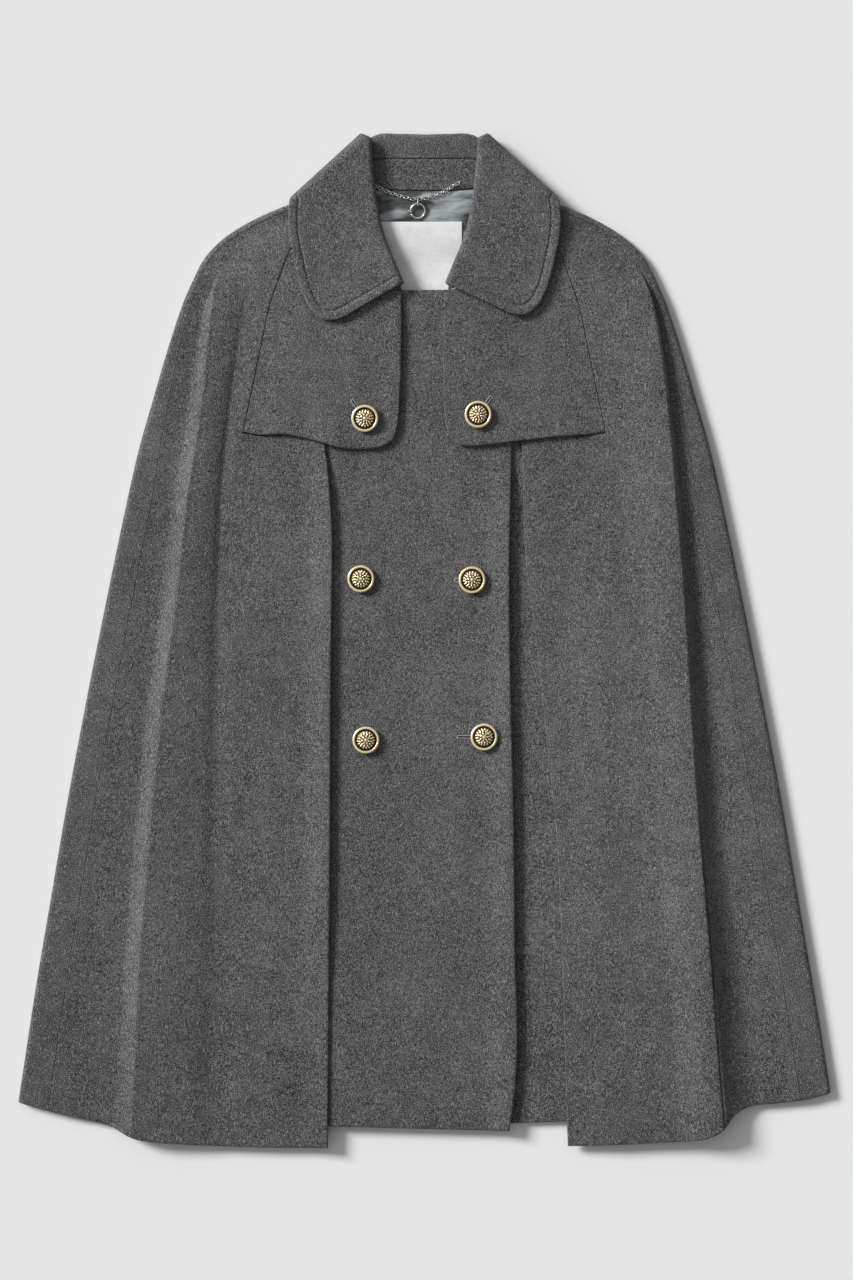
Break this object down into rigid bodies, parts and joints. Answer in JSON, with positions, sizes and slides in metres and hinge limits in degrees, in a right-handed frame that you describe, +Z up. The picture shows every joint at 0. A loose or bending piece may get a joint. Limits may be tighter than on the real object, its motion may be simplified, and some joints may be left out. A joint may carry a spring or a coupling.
{
  "type": "wool cape coat",
  "caption": "Grey wool cape coat laid flat, front up: arm slits under storm flaps, double-breasted front, round-ended collar, brass dome buttons.",
  "frame": {"origin": "centre of the bounding box, on the table the coat lies on", "axes": "+X to the wearer's left, +Y from hem to neck, +Z up off the table, out of the coat's front"},
  "size_m": [0.692, 0.8631, 0.0214],
  "materials": {
    "wool": "brushed grey melange wool",
    "lining_satin": "blue-grey satin",
    "label_tape": "white woven tape",
    "button_metal": "antiqued brass, darker in the hollows",
    "hanger_metal": "polished steel"
  },
  "bodies": {
    "coat": {"back": "wool", "right_cape_front": "wool", "left_cape_front": "wool", "right_front": "wool", "left_front": "wool", "right_flap": "wool", "left_flap": "wool", "collar_stand": "wool", "collar": "wool", "back_lining": "lining_satin", "blank_label": "label_tape", "hanger_chain": "hanger_metal", "button_top_right": "button_metal", "button_top_left": "button_metal", "button_middle_right": "button_metal", "button_middle_left": "button_metal", "button_bottom_right": "button_metal", "button_bottom_left": "button_metal"},
    "ring": {"hanger_ring": "hanger_metal"}
  },
  "joints": [
    {"name": "ring_swing", "type": "hinge", "parent": "coat", "child": "ring", "pos_m": [-0.0056, 0.3711, 0.0109], "axis": [-1, 0, 0], "range_deg": [0, 125]}
  ]
}
